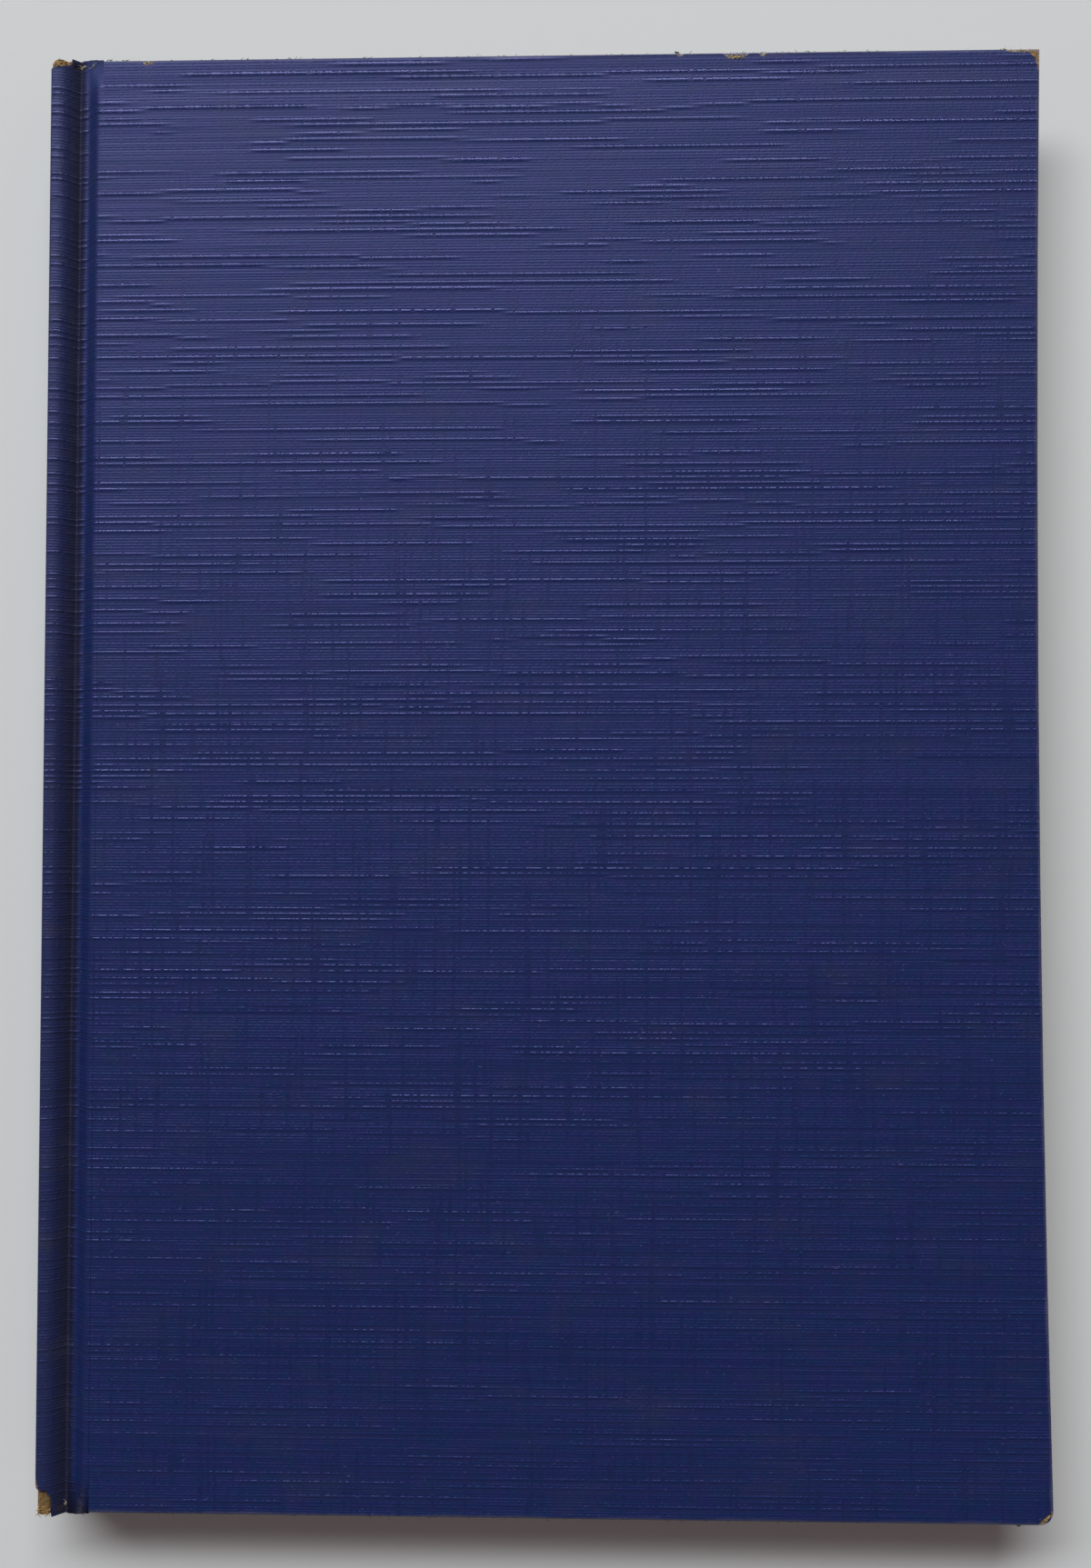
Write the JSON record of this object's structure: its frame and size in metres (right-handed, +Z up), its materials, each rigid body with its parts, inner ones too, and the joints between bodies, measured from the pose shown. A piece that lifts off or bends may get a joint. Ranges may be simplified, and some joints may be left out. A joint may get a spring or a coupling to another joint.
{
  "type": "cloth-bound hardback book",
  "caption": "Thin hardback book in blue linen-grain cloth over boards, with a rounded spine, pressed joints, a block of pages and covers that swing open.",
  "frame": {"origin": "centre of the outer face of the back cover, on the surface the book lies on", "axes": "+Z up through the thickness, out of the front cover; +Y towards the head; +X from the spine towards the fore-edge"},
  "size_m": [0.131, 0.1916, 0.0108],
  "materials": {
    "pages": "uncoated, toned at the edges",
    "endpaper": "uncoated, slightly yellowed",
    "lining_cloth": "open-weave cotton, stiff with glue",
    "spine_card": "brown card, frayed at the ends",
    "board": "brown millboard, scuffed where bare",
    "book_cloth": "linen-grain cloth, low sheen"
  },
  "bodies": {
    "book_block": {"page_block": "pages", "front_flyleaf": "endpaper", "back_flyleaf": "endpaper", "spine_lining": "lining_cloth", "spine_strip": "spine_card", "spine_cloth": "book_cloth", "front_joint_cloth": "book_cloth", "front_endpaper_hinge": "endpaper", "front_lining_hinge": "lining_cloth", "back_joint_cloth": "book_cloth", "back_endpaper_hinge": "endpaper", "back_lining_hinge": "lining_cloth"},
    "front_cover": {"front_board": "board", "front_cover_cloth": "book_cloth", "front_pastedown": "endpaper", "front_lining_flap": "lining_cloth"},
    "back_cover": {"back_board": "board", "back_cover_cloth": "book_cloth", "back_pastedown": "endpaper", "back_lining_flap": "lining_cloth"}
  },
  "joints": [
    {"name": "front_hinge", "type": "hinge", "parent": "book_block", "child": "front_cover", "pos_m": [-0.0637, 0, 0.0082], "axis": [0, -1, 0], "range_deg": [0, 180], "deforming": ["front_joint_cloth", "front_endpaper_hinge", "front_lining_hinge"]},
    {"name": "back_hinge", "type": "hinge", "parent": "book_block", "child": "back_cover", "pos_m": [-0.0637, 0, 0.0026], "axis": [0, 1, 0], "range_deg": [0, 180], "deforming": ["back_joint_cloth", "back_endpaper_hinge", "back_lining_hinge"]}
  ]
}
